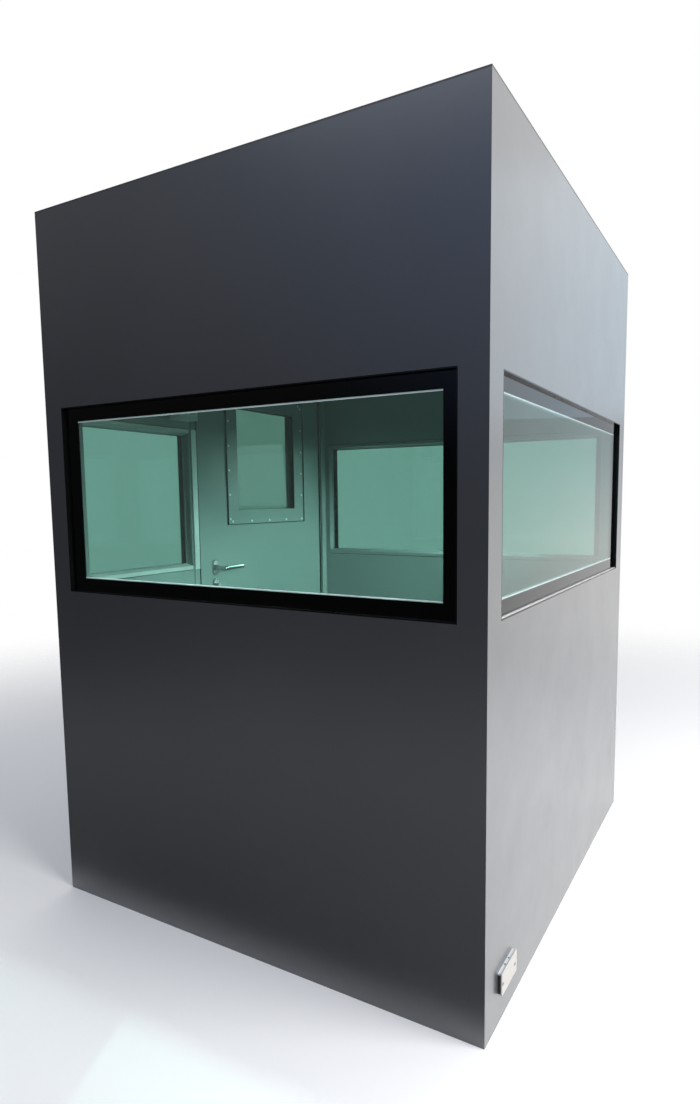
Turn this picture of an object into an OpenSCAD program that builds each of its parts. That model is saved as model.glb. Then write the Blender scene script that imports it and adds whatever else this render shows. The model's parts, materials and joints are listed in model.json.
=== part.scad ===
// Guard booth: a steel cabin with four large windows and an outward opening door in its left side.
// X runs along the front, Y from front to back and Z up. All sizes are in millimetres.
// The origin is on the ground, under the middle of the whole object's box.

/* [Booth] */
// Width of the booth along its front
booth_w = 1660; // [1500:10:2200]
// Depth of the booth from front to back
booth_d = 1740; // [1640:10:2200]
// Height of the booth from the ground to the top of the roof
booth_h = 2450; // [2400:10:2700]
// Thickness of the insulated walls
wall_t = 80; // [75:1:95]
// Thickness of the steel roof sheet
roof_t = 5; // [3:1:20]
// Thickness of the ceiling panel under the roof sheet
ceiling_t = 60; // [30:5:120]

/* [Base and floor] */
// Height of the base frame
base_h = 100; // [80:5:140]
// Width of a base rail's flanges
rail_w = 50; // [40:1:80]
// Thickness of a base rail's web and flanges
rail_t = 6; // [4:1:10]
// Width of a floor joist
joist_w = 40; // [30:1:60]
// Wall thickness of a floor joist
joist_t = 4; // [3:1:6]
// Widest clear gap between floor joists
joist_gap_max = 225; // [150:5:240]
// Thickness of the floor plate
floor_t = 14; // [6:1:20]

/* [Windows] */
// Height of the window openings' lower edge above the ground
sill_z = 1138; // [1000:1:1200]
// Height of the window openings
window_h = 644; // [500:1:700]
// Wall beside the front and back windows
front_margin = 83; // [80:1:200]
// Wall beside the right window
side_margin = 98; // [85:1:200]
// Wall in front of the left window
left_margin = 75; // [75:1:200]
// Wall between the left window and the doorway
door_post = 13; // [13:1:60]
// Ledge of the wall behind the glass
ledge_w = 24; // [20:1:34]
// Ledge of the left window beside the doorway
post_ledge_w = 10; // [8:1:20]
// Thickness of a window's sealed glass unit
glass_t = 29; // [24:1:30]
// Depth of the glass behind the wall's outer face
glass_depth = 13; // [10:1:16]
// Gap around the edge of a window's glass
glass_gap = 3; // [1:0.5:3.5]
// Thickness of the black liner in the outer reveal
liner_t = 4; // [4:0.5:8]
// Width of the black border behind the glass, at its sides
border_side_w = 53; // [45:1:70]
// Width of the black border at its bottom and top
border_rail_w = 48; // [40:1:60]
// Width of the left window's border beside the doorway
post_border_w = 38; // [30:1:50]
// Thickness of the black border
border_t = 1.5; // [1:0.5:3]
// Radius of the border's inner corners
border_r = 7; // [2:1:15]
// How far the boards inside the windows stand out of the wall
board_out = 1.5; // [1:0.5:3]
// Width of the beads between the boards
bead_w = 4; // [3:1:8]
// Thickness of the beads
bead_t = 5; // [3:1:10]

/* [Door] */
// Wall behind the doorway
door_rear_margin = 115; // [100:1:200]
// Width of the doorway
doorway_w = 980; // [900:1:1000]
// Height of the doorway's head above the ground
doorway_top = 2112; // [2050:1:2200]
// Gap around the door leaf
door_gap = 6; // [5:0.5:8]
// Gap between the closed leaf and its stops
seal_gap = 5; // [5:0.5:8]
// Slant of the leaf's lock edge over its thickness
lock_bevel = 5; // [5:0.5:8]
// Width of the stop bars
stop_w = 28; // [25:1:40]
// Thickness of the stop bars
stop_t = 5; // [4:1:8]
// Overlap of a stop bar on the leaf
stop_overlap = 7; // [5:1:8]
// Thickness of the cover strip on the lock side stop
strip_t = 3; // [2:0.5:5]
// Width of the gasket on the leaf's inner face
gasket_w = 10; // [6:1:14]
// Thickness of the gasket
gasket_t = 2; // [1:0.5:3]
// Distance of the gasket from the stops and the floor
gasket_gap = 5; // [5:1:8]

/* [Vision panel] */
// Clear width of the panel in the door
vision_w = 439; // [300:1:480]
// Clear height of the panel in the door
vision_h = 474; // [300:1:550]
// Height of the clear panel's lower edge above the ground
vision_z = 1414; // [1380:1:1480]
// Distance of the clear panel from the leaf's lock edge
vision_margin = 282; // [250:1:330]
// Width of the trim plates beside the panel
trim_side_w = 75; // [40:1:100]
// Width of the trim plates above and below the panel
trim_rail_w = 66; // [40:1:100]
// Thickness of the trim plates
trim_t = 3; // [2:0.5:5]
// Radius of the trim plates' outer corners
trim_r = 4; // [1:1:10]
// Thickness of the panel's liner
vision_liner_t = 4; // [3:0.5:8]
// Depth of the panel's sealed glass unit behind the leaf's faces
vision_depth = 13; // [10:1:20]
// Gap around the edge of the panel's glass
vision_gap = 1; // [0.5:0.5:2]

/* [Lever and lock] */
// Distance of the spindle from the leaf's lock edge
backset = 109; // [80:1:140]
// Height of the lever's spindle above the ground
lever_z = 1157; // [1130:1:1200]
// Distance between the spindle and the lock
lock_pitch = 85; // [80:1:100]
// Distance from the leaf's face to the lever bar's axis
lever_neck = 62; // [50:1:75]
// Length of the lever from its spindle to its end
lever_len = 140; // [110:1:160]
// Diameter of the lever bar
lever_d = 19; // [16:1:20]
// Radius of the lever's bends at their middle line
lever_bend_r = 16; // [13:1:18]
// Length of the straight end that points at the door
lever_end = 3; // [1:1:6]
// Diameter of the spindle
spindle_d = 9; // [8:1:10]
// Clearance around the spindle and in the roses
turn_clear = 0.5; // [0.4:0.1:1]
// Width of the oval roses
rose_w = 32; // [30:1:40]
// Height of the oval roses
rose_h = 70; // [60:1:76]
// Thickness of the roses
rose_t = 10; // [8:1:12]
// Chamfer around the roses' outer face
rose_chamfer = 2; // [1:0.5:3]
// Diameter of the thumb-turn's stem and of the key cylinder
core_d = 17; // [14:1:18]
// Diameter of the thumb-turn's disc
turn_disc_d = 26; // [20:1:30]
// Thickness of the thumb-turn's disc
turn_disc_t = 5; // [3:1:8]
// Length of the thumb-turn's grip
grip_len = 30; // [24:1:34]
// Thickness of the thumb-turn's grip
grip_w = 8; // [6:1:12]
// Height of the thumb-turn's grip above its disc
grip_h = 14; // [10:1:18]
// How far the key cylinder stands out of its rose
core_out = 2; // [1:0.5:4]
// Width of the keyway
keyway_w = 2; // [1:0.5:3]
// Height of the keyway
keyway_h = 9; // [6:1:11]
// Width of the lock's face plate
face_w = 22; // [18:1:26]
// Height of the lock's face plate
face_h = 235; // [200:1:260]
// Thickness of the face plate and the strike plate
face_t = 3; // [2:0.5:4]
// Height of the latch and of the bolt
bolt_h = 34; // [28:1:40]
// Thickness of the latch and of the bolt
bolt_w = 12; // [10:1:14]
// Gap around the latch and the bolt in their plates
bolt_gap = 0.5; // [0.3:0.1:1]

/* [Hinges] */
// Distance of the hinge axis from the wall's outer face
hinge_out = 14; // [13:0.5:18]
// Radius of the hinge barrels
barrel_r = 9; // [8:0.5:9.5]
// Height of a hinge
hinge_h = 120; // [90:5:150]
// Distance of the outer hinges from the leaf's ends
hinge_inset = 180; // [100:10:300]
// Width of a hinge plate
plate_w = 38; // [30:1:50]
// Thickness of a hinge plate
plate_t = 4; // [3:0.5:5]
// Radius of the hinge pins
pin_r = 4.7; // [4:0.1:5]
// Clearance around the pins and between the knuckles
hinge_clear = 0.3; // [0.2:0.1:0.6]
// Radius of a pin's head
pin_head_r = 7.5; // [6.5:0.5:8]
// Height of a pin's head
pin_head_h = 3; // [2:0.5:5]

/* [Boxes on the walls] */
// Distance of the outer box from the booth's front
box_y = 98; // [60:1:300]
// Length of the outer box
box_len = 128; // [100:1:160]
// Height of the outer box's lower edge above the ground
box_z = 88; // [60:1:300]
// Height of the outer box
box_h = 67; // [50:1:90]
// Thickness of the outer box's body
box_body_t = 9; // [6:1:30]
// Thickness of the outer box's cover
box_cover_t = 4; // [3:1:8]
// Rim of the cover that stands beyond the box's body
box_rim = 1.5; // [1:0.5:3]
// Radius of the outer box's corners
box_r = 5; // [2:1:10]
// Length of the fitting box on the inside of the left wall
fitting_len = 98; // [60:1:140]
// Height of the fitting box
fitting_h = 140; // [80:1:200]
// Thickness of the fitting box
fitting_t = 60; // [30:1:80]
// Distance of the fitting box from the doorway
fitting_inset = 27; // [20:1:60]
// Distance of the fitting box above the window openings
fitting_lift = 8; // [5:1:40]

/* [Hidden] */

$fn = 64;

wall_grey = "#55575c";
inner_grey = "#5b6064";
base_black = "#2b2c2e";
floor_grey = "#4a4c4c";
glass_green = [0.55, 0.78, 0.70, 0.35];
black = "#121314";
satin_chrome = "#b9bbbd";
box_white = "#e4e7ea";

// Overlap of a cutting body past the faces that it cuts
cut = 1;

// The booth's box and its middle
lever_reach = lever_neck + lever_d / 2;
mid_x = (booth_w + box_body_t + box_cover_t - lever_reach) / 2;

// Heights
roof_z = booth_h - roof_t;
ceiling_z = roof_z - ceiling_t;
floor_z = base_h + floor_t;
head_z = sill_z + window_h;

// Inside of the booth
inner_x = booth_w - wall_t;
inner_y = booth_d - wall_t;

// Depths of the window's layers behind the wall's outer face
border_depth = glass_depth + glass_t;
rebate_depth = border_depth + border_t;

// Doorway and leaf, from the front to the back
doorway_y1 = booth_d - door_rear_margin;
doorway_y0 = doorway_y1 - doorway_w;
leaf_y0 = doorway_y0 + door_gap;
leaf_y1 = doorway_y1 - door_gap;
leaf_z0 = base_h + door_gap;
leaf_z1 = doorway_top - door_gap;
leaf_t = wall_t - seal_gap;
bevel_angle = atan2(lock_bevel, leaf_t);

// Inner edges of the stops
stop_y0 = leaf_y0 + stop_overlap;
stop_y1 = leaf_y1 - stop_overlap;
stop_z1 = leaf_z1 - stop_overlap;

// Lever, lock and hinges
spindle_y = leaf_y0 + backset;
lock_z = lever_z - lock_pitch;
face_z = (lever_z + lock_z) / 2;
lever_r = lever_d / 2;
hinge_y = (leaf_y1 + doorway_y1) / 2;
knuckle_h = hinge_h / 3;
hinge_zs = [
    leaf_z0 + hinge_inset,
    (leaf_z0 + leaf_z1 - hinge_h) / 2,
    leaf_z1 - hinge_inset - hinge_h
];

// A window is [start, end, ledges at the start and the end, borders at the start and the end]
front_window = [front_margin, booth_w - front_margin, ledge_w, ledge_w, border_side_w, border_side_w];
right_window = [side_margin, booth_d - side_margin, ledge_w, ledge_w, border_side_w, border_side_w];
left_window = [
    booth_d - doorway_y0 + door_post, booth_d - left_margin,
    post_ledge_w, ledge_w, post_border_w, border_side_w
];

// Moves the booth so that the origin is under the middle of its box
module placed() {
    translate([-mid_x, -booth_d / 2, 0]) children();
}

// Each wall is drawn from its outer face, with X along it and Y into the booth
module on_right() {
    translate([booth_w, 0, 0]) rotate(90) children();
}

module on_back() {
    translate([booth_w, booth_d, 0]) rotate(180) children();
}

module on_left() {
    translate([0, booth_d, 0]) rotate(-90) children();
}

// Stands a flat outline up along X and Z, with its thickness along Y
module upright_x(depth, thickness) {
    translate([0, depth + thickness, 0]) rotate([90, 0, 0]) linear_extrude(thickness) children();
}

// Stands a flat outline up along Y and Z, with its thickness along X
module upright_y(depth, thickness) {
    translate([depth, 0, 0]) rotate([90, 0, 90]) linear_extrude(thickness) children();
}

// Box between two corners
module block(from, to) {
    translate(from) cube(to - from);
}

// Rectangle between two corners, with round corners
module round_rect(from, to, r) {
    size = to - from;
    translate(from + [r, 0]) square([size.x - 2 * r, size.y]);
    translate(from + [0, r]) square([size.x, size.y - 2 * r]);
    for (x = [from.x + r, to.x - r], y = [from.y + r, to.y - r])
        translate([x, y]) circle(r);
}

// Oval outline that stands upright
module oval(w, h) {
    square([w, h - w], center = true);
    for (side = [-1, 1]) translate([0, side * (h - w) / 2]) circle(d = w);
}

// Opening of a window with its rebate, cut out of a wall
module window_cut(window) {
    block([window[0], -cut, sill_z], [window[1], rebate_depth, head_z]);
    block(
        [window[0] + window[2], rebate_depth - cut, sill_z + ledge_w],
        [window[1] - window[3], wall_t + cut, head_z - ledge_w]
    );
}

module window_glass(window) {
    block(
        [window[0] + glass_gap, glass_depth, sill_z + glass_gap],
        [window[1] - glass_gap, border_depth, head_z - glass_gap]
    );
}

// Black border behind the glass, against the rebate
module window_border(window) {
    upright_x(border_depth, border_t) difference() {
        translate([window[0], sill_z]) square([window[1] - window[0], window_h]);
        round_rect(
            [window[0] + window[4], sill_z + border_rail_w],
            [window[1] - window[5], head_z - border_rail_w],
            border_r
        );
    }
}

// Boards at the bottom and the top of the inner reveal, with a bead between them at each side
module window_bead(window) {
    from = [window[0] + window[2], rebate_depth, sill_z + ledge_w];
    to = [window[1] - window[3], wall_t + board_out, head_z - ledge_w];
    board_h = border_rail_w - ledge_w;
    block(from, [to.x, to.y, from.z + board_h]);
    block([from.x, from.y, to.z - board_h], to);
    for (x = [from.x, to.x - bead_w])
        block([x, from.y, from.z], [x + bead_w, from.y + bead_t, to.z]);
}

// Liner inside the outer reveal, against the glass
module window_liner(window) {
    upright_x(0, glass_depth) difference() {
        translate([window[0], sill_z]) square([window[1] - window[0], window_h]);
        translate([window[0] + liner_t, sill_z + liner_t])
            square([window[1] - window[0] - 2 * liner_t, window_h - 2 * liner_t]);
    }
}

// Draws its child for each of the four windows
module each_window() {
    children(0);
    on_right() children(1);
    on_back() children(0);
    on_left() children(2);
}

// Wall with mitred ends
module wall(length) {
    linear_extrude(roof_z) polygon([[0, 0], [length, 0], [length - wall_t, wall_t], [wall_t, wall_t]]);
}

// Channel rail along X with its web at Y = 0
module rail(length) {
    difference() {
        cube([length, rail_w, base_h]);
        block([-cut, rail_t, rail_t], [length + cut, rail_w + cut, base_h - rail_t]);
    }
}

module base_rail_front() {
    color(base_black) placed() translate([wall_t, wall_t, 0]) rail(inner_x - wall_t);
}

module base_rail_back() {
    color(base_black) placed() translate([inner_x, inner_y, 0]) rotate(180) rail(inner_x - wall_t);
}

// The side rails run between the front and back rails' flanges
module base_rail_left() {
    length = inner_y - wall_t - 2 * rail_w;
    color(base_black) placed() translate([wall_t, inner_y - rail_w, 0]) rotate(-90) rail(length);
}

module base_rail_right() {
    length = inner_y - wall_t - 2 * rail_w;
    color(base_black) placed() translate([inner_x, wall_t + rail_w, 0]) rotate(90) rail(length);
}

// Square tubes between the side rails' webs, coped around their flanges
module floor_joists() {
    from_y = wall_t + rail_w;
    room = inner_y - rail_w - from_y;
    count = ceil((room - joist_gap_max) / (joist_w + joist_gap_max));
    gap = (room - count * joist_w) / (count + 1);
    color(base_black) placed() for (i = [0 : count - 1])
        translate([0, from_y + gap + i * (joist_w + gap), 0]) difference() {
            union() {
                block([wall_t + rail_w, 0, 0], [inner_x - rail_w, joist_w, base_h]);
                block([wall_t + rail_t, 0, rail_t], [inner_x - rail_t, joist_w, base_h - rail_t]);
            }
            block(
                [wall_t, joist_t, rail_t + joist_t],
                [inner_x, joist_w - joist_t, base_h - rail_t - joist_t]
            );
        }
}

module floor_plate() {
    color(floor_grey) placed() block([wall_t, wall_t, base_h], [inner_x, inner_y, floor_z]);
}

module front_wall() {
    color(wall_grey) placed() difference() {
        wall(booth_w);
        window_cut(front_window);
    }
}

module right_wall() {
    color(wall_grey) placed() on_right() difference() {
        wall(booth_d);
        window_cut(right_window);
    }
}

module back_wall() {
    color(wall_grey) placed() on_back() difference() {
        wall(booth_w);
        window_cut(front_window);
    }
}

// The left wall stands in front of the doorway, behind it and over it
module left_wall_front() {
    color(wall_grey) placed() difference() {
        on_left() difference() {
            wall(booth_d);
            window_cut(left_window);
        }
        block([-cut, doorway_y0, -cut], [wall_t + cut, booth_d + cut, booth_h]);
        at_strike() plate_pocket(-cut);
    }
}

module left_wall_rear() {
    color(wall_grey) placed() difference() {
        on_left() wall(booth_d);
        block([-cut, -cut, -cut], [wall_t + cut, doorway_y1, booth_h]);
    }
}

module left_wall_lintel() {
    color(wall_grey) placed() block([0, doorway_y0, doorway_top], [wall_t, doorway_y1, roof_z]);
}

module door_threshold() {
    color(base_black) placed() block([0, doorway_y0, 0], [wall_t, doorway_y1, base_h]);
}

module roof_plate() {
    color(wall_grey) placed() block([0, 0, roof_z], [booth_w, booth_d, booth_h]);
}

module ceiling_panel() {
    color(inner_grey) placed() block([wall_t, wall_t, ceiling_z], [inner_x, inner_y, roof_z]);
}

module front_glass() {
    color(glass_green) placed() window_glass(front_window);
}

module right_glass() {
    color(glass_green) placed() on_right() window_glass(right_window);
}

module left_glass() {
    color(glass_green) placed() on_left() window_glass(left_window);
}

module back_glass() {
    color(glass_green) placed() on_back() window_glass(front_window);
}

module window_borders() {
    color(black) placed() each_window() {
        window_border(front_window);
        window_border(right_window);
        window_border(left_window);
    }
}

module window_beads() {
    color(inner_grey) placed() each_window() {
        window_bead(front_window);
        window_bead(right_window);
        window_bead(left_window);
    }
}

module window_liners() {
    color(black) placed() each_window() {
        window_liner(front_window);
        window_liner(right_window);
        window_liner(left_window);
    }
}

// Outline of the vision panel, grown by a margin at its sides and at its top and bottom
module vision_outline(side, rail, r) {
    y0 = leaf_y0 + vision_margin;
    round_rect([y0 - side, vision_z - rail], [y0 + vision_w + side, vision_z + vision_h + rail], r);
}

// Plain outline of the vision panel, grown by one margin
module vision_square(margin) {
    translate([leaf_y0 + vision_margin - margin, vision_z - margin])
        square([vision_w + 2 * margin, vision_h + 2 * margin]);
}

// Moves to the leaf's slanted lock edge, with X along it and Y into the leaf
module at_lock_edge() {
    translate([0, leaf_y0, face_z]) rotate(bevel_angle) translate([leaf_t / 2, 0, 0]) children();
}

// Outline of the lock's plates, from the given depth to the plates' back
module plate_pocket(from) {
    translate([-face_w / 2, from, -face_h / 2]) cube([face_w, face_t - from, face_h]);
}

// Latch and bolt at the lock's face, with their centres level with the spindle and the lock
module bolt_blocks(grow, depth) {
    for (z = [lever_z - face_z, lock_z - face_z])
        translate([-bolt_w / 2 - grow, -depth, z - bolt_h / 2 - grow])
            cube([bolt_w + 2 * grow, face_t + 2 * depth, bolt_h + 2 * grow]);
}

module door_leaf() {
    color(wall_grey) placed() difference() {
        translate([0, 0, leaf_z0]) linear_extrude(leaf_z1 - leaf_z0) polygon([
            [0, leaf_y0], [leaf_t, leaf_y0 + lock_bevel], [leaf_t, leaf_y1], [0, leaf_y1]
        ]);
        upright_y(-cut, leaf_t + 2 * cut) vision_square(vision_liner_t);
        translate([-cut, spindle_y, lever_z]) rotate([0, 90, 0])
            cylinder(d = spindle_d + 2 * turn_clear, h = leaf_t + 2 * cut);
        at_lock_edge() plate_pocket(-cut);
    }
}

module door_glass() {
    color(glass_green) placed() upright_y(vision_depth, leaf_t - 2 * vision_depth)
        vision_square(vision_liner_t - vision_gap);
}

// Trim plates on both faces of the leaf
module vision_plates() {
    color(inner_grey) placed() for (depth = [leaf_t, -trim_t]) upright_y(depth, trim_t) difference() {
        vision_outline(trim_side_w, trim_rail_w, trim_r);
        vision_square(0);
    }
}

// Liners on both sides of the panel's glass
module vision_liners() {
    color(black) placed() for (depth = [0, leaf_t - vision_depth])
        upright_y(depth, vision_depth) vision_ring();
}

module vision_ring() {
    difference() {
        vision_square(vision_liner_t);
        vision_square(0);
    }
}

// Gasket around the leaf's inner face, inside the stops and above the floor's edge
module door_gasket() {
    from = [stop_y0 + gasket_gap, floor_z + gasket_gap];
    to = [stop_y1 - gasket_gap, stop_z1 - gasket_gap];
    color(black) placed() upright_y(leaf_t, gasket_t) difference() {
        translate(from) square(to - from);
        translate(from + [gasket_w, gasket_w]) square(to - from - 2 * [gasket_w, gasket_w]);
    }
}

module door_stop_latch() {
    color(inner_grey) placed()
        block([wall_t, stop_y0 - stop_w, floor_z], [wall_t + stop_t, stop_y0, stop_z1]);
}

module door_stop_hinge() {
    color(inner_grey) placed()
        block([wall_t, stop_y1, floor_z], [wall_t + stop_t, stop_y1 + stop_w, stop_z1]);
}

module door_stop_head() {
    color(inner_grey) placed()
        block([wall_t, stop_y0 - stop_w, stop_z1], [wall_t + stop_t, stop_y1 + stop_w, stop_z1 + stop_w]);
}

// Cover strip on the lock side stop, as high as the window's inner opening
module mullion_strip() {
    x = wall_t + stop_t;
    color(satin_chrome) placed()
        block([x, stop_y0 - stop_w, sill_z + ledge_w], [x + strip_t, stop_y0, head_z - ledge_w]);
}

// Hinge leaf behind its axis, with knuckles at the given spans of its height
module hinge_leaf(spans) {
    edge = door_gap / 2;
    plate_x = hinge_out - plate_t;
    difference() {
        union() {
            translate([plate_x, edge, 0]) cube([plate_t, plate_w, hinge_h]);
            for (span = spans) translate([0, 0, span[0]]) linear_extrude(span[1] - span[0]) {
                circle(barrel_r);
                translate([0, edge]) square([plate_x, barrel_r - edge]);
            }
        }
        translate([0, 0, -cut]) cylinder(r = pin_r + hinge_clear, h = hinge_h + 2 * cut);
    }
}

// Draws its children on each of the three hinge axes
module each_hinge() {
    for (z = hinge_zs) translate([-hinge_out, hinge_y, z]) children();
}

module hinge_frame_leaves() {
    color(wall_grey) placed() each_hinge()
        hinge_leaf([[0, knuckle_h], [2 * knuckle_h, hinge_h]]);
}

module hinge_door_leaves() {
    color(wall_grey) placed() each_hinge() mirror([0, 1, 0])
        hinge_leaf([[knuckle_h + hinge_clear, 2 * knuckle_h - hinge_clear]]);
}

module hinge_pins() {
    color(satin_chrome) placed() each_hinge() {
        cylinder(r = pin_r, h = hinge_h);
        translate([0, 0, hinge_h]) cylinder(r = pin_head_r, h = pin_head_h);
    }
}

// Lever on its spindle's axis: X away from the leaf's face, Y along the bar
module lever() {
    bar_end = lever_len - lever_r - lever_bend_r;
    rotate([0, 90, 0]) translate([0, 0, turn_clear])
        cylinder(r = lever_r, h = lever_neck - lever_bend_r - turn_clear);
    translate([lever_neck - lever_bend_r, lever_bend_r, 0]) rotate(-90) lever_bend();
    translate([lever_neck, lever_bend_r, 0]) rotate([-90, 0, 0])
        cylinder(r = lever_r, h = bar_end - lever_bend_r);
    translate([lever_neck - lever_bend_r, bar_end, 0]) lever_bend();
    translate([lever_neck - lever_bend_r, lever_len - lever_r, 0]) rotate([0, -90, 0])
        cylinder(r = lever_r, h = lever_end);
}

module lever_bend() {
    rotate_extrude(angle = 90) translate([lever_bend_r, 0]) circle(lever_r);
}

// The inside lever carries the spindle that passes through the leaf
module lever_inside() {
    color(satin_chrome) placed() translate([leaf_t, spindle_y, lever_z]) {
        lever();
        translate([-leaf_t - turn_clear, 0, 0]) rotate([0, 90, 0])
            cylinder(d = spindle_d, h = leaf_t + 2 * turn_clear);
    }
}

module lever_outside() {
    color(satin_chrome) placed() translate([0, spindle_y, lever_z]) mirror([1, 0, 0]) lever();
}

// Oval rose with a chamfered face and a round hole
module rose(hole_d) {
    flat = rose_t - rose_chamfer;
    difference() {
        union() {
            linear_extrude(flat) oval(rose_w, rose_h);
            translate([0, 0, flat]) rose_rim();
        }
        translate([0, 0, -cut]) cylinder(d = hole_d, h = rose_t + 2 * cut);
    }
}

// Chamfered face of a rose: two cones and the ridge between them
module rose_rim() {
    r = rose_w / 2;
    reach = (rose_h - rose_w) / 2;
    for (side = [-1, 1]) translate([0, side * reach, 0])
        cylinder(r1 = r, r2 = r - rose_chamfer, h = rose_chamfer);
    rotate([90, 0, 0]) translate([0, 0, -reach]) linear_extrude(2 * reach) polygon([
        [-r, 0], [r, 0], [r - rose_chamfer, rose_chamfer], [rose_chamfer - r, rose_chamfer]
    ]);
}

// Four roses: for the lever and the lock, on both faces of the leaf
module handle_roses() {
    color(satin_chrome) placed() for (item = [[lever_z, lever_d], [lock_z, core_d]]) {
        hole_d = item[1] + 2 * turn_clear;
        translate([leaf_t, spindle_y, item[0]]) rotate([90, 0, 90]) rose(hole_d);
        translate([0, spindle_y, item[0]]) rotate([90, 0, -90]) rose(hole_d);
    }
}

// Thumb-turn on the inner rose: a stem, a disc and an upright grip
module thumbturn_knob() {
    color(satin_chrome) placed() translate([leaf_t, spindle_y, lock_z]) rotate([90, 0, 90]) {
        translate([0, 0, hinge_clear]) cylinder(d = core_d, h = rose_t + turn_clear - hinge_clear);
        translate([0, 0, rose_t + turn_clear]) cylinder(d = turn_disc_d, h = turn_disc_t);
        translate([0, 0, rose_t + turn_clear + turn_disc_t]) linear_extrude(grip_h) oval(grip_w, grip_len);
    }
}

// Key cylinder in the outer rose, with its keyway
module key_cylinder() {
    length = rose_t + core_out;
    color(satin_chrome) placed() translate([0, spindle_y, lock_z]) rotate([90, 0, -90]) difference() {
        cylinder(d = core_d, h = length);
        translate([-keyway_w / 2, -keyway_h / 2, core_out]) cube([keyway_w, keyway_h, length]);
    }
}

// Face plate in the leaf's edge, with the latch and the bolt drawn back level with it
module lock_faceplate() {
    color(satin_chrome) placed() at_lock_edge() {
        difference() {
            plate_pocket(0);
            bolt_blocks(bolt_gap, cut);
        }
        bolt_blocks(0, 0);
    }
}

// Moves to the doorway's edge, with Y into the wall
module at_strike() {
    translate([leaf_t / 2, doorway_y0, face_z]) mirror([0, 1, 0]) children();
}

// Strike plate in the doorway's edge, with holes for the latch and the bolt
module strike_plate() {
    color(satin_chrome) placed() at_strike() difference() {
        plate_pocket(0);
        bolt_blocks(bolt_gap, cut);
    }
}

// Box on the outside of the right wall, with its cover on top
module socket_box_body() {
    color(box_white) placed() upright_y(booth_w, box_body_t)
        round_rect(
            [box_y + box_rim, box_z + box_rim],
            [box_y + box_len - box_rim, box_z + box_h - box_rim],
            box_r
        );
}

module socket_box_cover() {
    color(box_white) placed() upright_y(booth_w + box_body_t, box_cover_t)
        round_rect([box_y, box_z], [box_y + box_len, box_z + box_h], box_r);
}

// Small fitting high on the inside of the left wall
module fitting_box() {
    y1 = doorway_y0 - fitting_inset;
    z0 = head_z + fitting_lift;
    color(box_white) placed()
        block([wall_t, y1 - fitting_len, z0], [wall_t + fitting_t, y1, z0 + fitting_h]);
}

base_rail_front();
base_rail_back();
base_rail_left();
base_rail_right();
floor_joists();
floor_plate();
front_wall();
right_wall();
back_wall();
left_wall_front();
left_wall_rear();
left_wall_lintel();
door_threshold();
roof_plate();
ceiling_panel();
front_glass();
right_glass();
left_glass();
back_glass();
window_borders();
window_beads();
window_liners();
door_leaf();
door_glass();
vision_plates();
vision_liners();
door_gasket();
door_stop_latch();
door_stop_hinge();
door_stop_head();
mullion_strip();
hinge_frame_leaves();
hinge_door_leaves();
hinge_pins();
lever_inside();
lever_outside();
handle_roses();
thumbturn_knob();
key_cylinder();
lock_faceplate();
strike_plate();
socket_box_body();
socket_box_cover();
fitting_box();
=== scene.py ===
"""Dresses the guard booth: finishes, small fasteners, glazing details, camera, light and floor."""

import json
import math

import bmesh
import bpy
from mathutils import Matrix, Vector


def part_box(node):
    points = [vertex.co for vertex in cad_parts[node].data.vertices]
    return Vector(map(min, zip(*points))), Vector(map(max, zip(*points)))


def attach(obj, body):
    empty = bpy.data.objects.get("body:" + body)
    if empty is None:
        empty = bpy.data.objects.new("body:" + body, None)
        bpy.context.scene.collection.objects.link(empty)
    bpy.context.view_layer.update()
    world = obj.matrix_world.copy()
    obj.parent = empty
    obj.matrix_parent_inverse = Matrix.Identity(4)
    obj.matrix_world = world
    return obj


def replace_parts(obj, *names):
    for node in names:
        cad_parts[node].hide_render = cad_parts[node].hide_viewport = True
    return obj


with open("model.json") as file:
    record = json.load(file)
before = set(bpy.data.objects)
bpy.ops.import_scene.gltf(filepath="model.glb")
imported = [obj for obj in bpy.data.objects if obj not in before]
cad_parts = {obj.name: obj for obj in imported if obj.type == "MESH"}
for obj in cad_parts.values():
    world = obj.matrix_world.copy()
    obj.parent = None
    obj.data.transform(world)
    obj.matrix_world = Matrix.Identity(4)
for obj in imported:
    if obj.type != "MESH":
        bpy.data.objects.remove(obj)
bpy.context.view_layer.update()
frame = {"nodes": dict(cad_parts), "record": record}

MM = 0.001

# The photograph's frame and the camera that was solved from the booth's own edges, in pixels
PHOTO_W = 700
PHOTO_H = 1104
FOCAL_PX = 695.64
CENTRE_U = 385.70
CENTRE_V = 571.83
SENSOR_MM = 36.0

# The camera's place from the booth's front left corner on the ground, in metres, and its angles
CAMERA_PLACE = (2.2643, -1.6172, 1.4563)
CAMERA_AZIMUTH = 28.921
CAMERA_PITCH = 5.925
CAMERA_ROLL = -0.420
CLIP_START = 0.01

# Sizes of the pieces that are made here, in metres
TRIM_SCREW_R = 5 * MM
TRIM_ROW_INSET = 12 * MM
TRIM_ROW_START = 31 * MM
TRIM_COLUMN_INSET = 16 * MM
TRIM_COLUMN_START = 24 * MM
TRIM_SCREWS_ACROSS = 5
TRIM_SCREWS_UP = 6
HINGE_SCREW_R = 4.5 * MM
HINGE_COUNT = 3
HINGE_SCREWS = 3
HINGE_H = 120 * MM
HINGE_PLATE_T = 4 * MM
HINGE_SCREW_INSET = 19 * MM
BOX_SCREW_R = 4.2 * MM
BOX_SCREWS = ((9 * MM, 34 * MM), (111 * MM, 30 * MM))
BOX_WELL_R = 5.2 * MM
BOX_WELL_DEPTH = 2.2 * MM
BOX_WELL_SIDES = 24
BOX_CORNER_R = 5 * MM
BOX_CORNER_STEPS = 6
BOX_EDGE_R = 2 * MM
BOX_EDGE_STEPS = 3
# The dark plates on the outer box's ends are painted shade
BOX_SHADE_PLATE_T = 0.8 * MM
BOX_SHADE_PLATE_MARGIN = 5 * MM
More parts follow.
